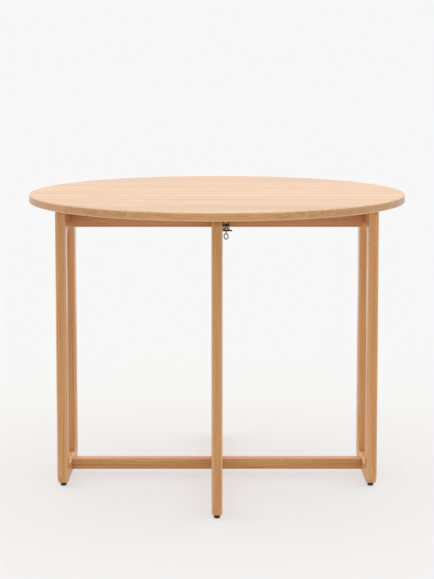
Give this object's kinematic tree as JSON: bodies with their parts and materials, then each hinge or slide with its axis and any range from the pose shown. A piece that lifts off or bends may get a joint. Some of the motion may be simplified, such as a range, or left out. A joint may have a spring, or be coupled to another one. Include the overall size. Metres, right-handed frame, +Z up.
{
  "type": "gateleg table",
  "caption": "Round oak gateleg table: a fixed centre panel between two drop leaves, on hooped end frames joined by an apron and a stretcher, each leaf held up by a hooped swinging gate.",
  "frame": {"origin": "on the floor, under the middle of the round top", "axes": "+Z up; +X along the apron from the left end frame to the right one; -Y is the front, where the front gate opens"},
  "size_m": [0.97, 0.97, 0.75],
  "materials": {
    "oak_top": "pale oak, satin lacquer",
    "oak_frame": "honey oak, satin lacquer",
    "dark_glide": "dark brown moulded glide",
    "dark_steel": "dark bronzed steel",
    "brass": "pale satin brass",
    "nickel": "nickel plate"
  },
  "bodies": {
    "frame": {"centre_panel": "oak_top", "apron": "oak_frame", "stretcher": "oak_frame", "left_frame_front_leg": "oak_frame", "left_frame_rear_leg": "oak_frame", "left_frame_top_rail": "oak_frame", "left_frame_bottom_rail": "oak_frame", "left_frame_front_glide": "dark_glide", "left_frame_rear_glide": "dark_glide", "right_frame_front_leg": "oak_frame", "right_frame_rear_leg": "oak_frame", "right_frame_top_rail": "oak_frame", "right_frame_bottom_rail": "oak_frame", "right_frame_front_glide": "dark_glide", "right_frame_rear_glide": "dark_glide", "leaf_front_left_hinge_fixed_plate": "dark_steel", "leaf_front_left_hinge_pin": "dark_steel", "leaf_front_right_hinge_fixed_plate": "dark_steel", "leaf_front_right_hinge_pin": "dark_steel", "gate_front_upper_hinge_fixed_plate": "dark_steel", "gate_front_upper_hinge_pin": "dark_steel", "gate_front_lower_hinge_fixed_plate": "dark_steel", "gate_front_lower_hinge_pin": "dark_steel", "leaf_rear_left_hinge_fixed_plate": "dark_steel", "leaf_rear_left_hinge_pin": "dark_steel", "leaf_rear_right_hinge_fixed_plate": "dark_steel", "leaf_rear_right_hinge_pin": "dark_steel", "gate_rear_upper_hinge_fixed_plate": "dark_steel", "gate_rear_upper_hinge_pin": "dark_steel", "gate_rear_lower_hinge_fixed_plate": "dark_steel", "gate_rear_lower_hinge_pin": "dark_steel"},
    "front_gate": {"gate_front_outer_leg": "oak_frame", "gate_front_pivot_stile": "oak_frame", "gate_front_top_rail": "oak_frame", "gate_front_bottom_rail": "oak_frame", "gate_front_glide": "dark_glide", "gate_front_upper_hinge_moving_plate": "dark_steel", "gate_front_lower_hinge_moving_plate": "dark_steel", "catch_front_case": "dark_steel"},
    "front_leaf": {"leaf_front": "oak_top", "leaf_front_left_hinge_moving_plate": "dark_steel", "leaf_front_right_hinge_moving_plate": "dark_steel", "catch_front_keeper": "dark_steel"},
    "front_bolt": {"catch_front_bolt": "brass"},
    "front_ring": {"catch_front_ring": "nickel"},
    "rear_gate": {"gate_rear_outer_leg": "oak_frame", "gate_rear_pivot_stile": "oak_frame", "gate_rear_top_rail": "oak_frame", "gate_rear_bottom_rail": "oak_frame", "gate_rear_glide": "dark_glide", "gate_rear_upper_hinge_moving_plate": "dark_steel", "gate_rear_lower_hinge_moving_plate": "dark_steel", "catch_rear_case": "dark_steel"},
    "rear_leaf": {"leaf_rear": "oak_top", "leaf_rear_left_hinge_moving_plate": "dark_steel", "leaf_rear_right_hinge_moving_plate": "dark_steel", "catch_rear_keeper": "dark_steel"},
    "rear_bolt": {"catch_rear_bolt": "brass"},
    "rear_ring": {"catch_rear_ring": "nickel"}
  },
  "joints": [
    {"name": "front_gate_swing", "type": "hinge", "parent": "frame", "child": "front_gate", "pos_m": [-0.011, -0.0158, 0.36], "axis": [0, 0, 1], "range_deg": [-90, 0]},
    {"name": "front_leaf_lift", "type": "hinge", "parent": "frame", "child": "front_leaf", "pos_m": [0, -0.2, 0.7272], "axis": [-1, 0, 0], "range_deg": [0, 2]},
    {"name": "front_bolt_slide", "type": "slide", "parent": "front_gate", "child": "front_bolt", "axis": [0, 0, 1], "range_m": [0, 0.0025]},
    {"name": "front_ring_swing", "type": "hinge", "parent": "front_bolt", "child": "front_ring", "pos_m": [0.0214, -0.334, 0.6836], "axis": [1, 0, 0], "range_deg": [-60, 60]},
    {"name": "rear_gate_swing", "type": "hinge", "parent": "frame", "child": "rear_gate", "pos_m": [0.011, 0.0158, 0.36], "axis": [0, 0, 1], "range_deg": [-90, 0]},
    {"name": "rear_leaf_lift", "type": "hinge", "parent": "frame", "child": "rear_leaf", "pos_m": [0, 0.2, 0.7272], "axis": [1, 0, 0], "range_deg": [0, 2]},
    {"name": "rear_bolt_slide", "type": "slide", "parent": "rear_gate", "child": "rear_bolt", "axis": [0, 0, 1], "range_m": [0, 0.0025]},
    {"name": "rear_ring_swing", "type": "hinge", "parent": "rear_bolt", "child": "rear_ring", "pos_m": [-0.0214, 0.334, 0.6836], "axis": [1, 0, 0], "range_deg": [-60, 60]}
  ]
}
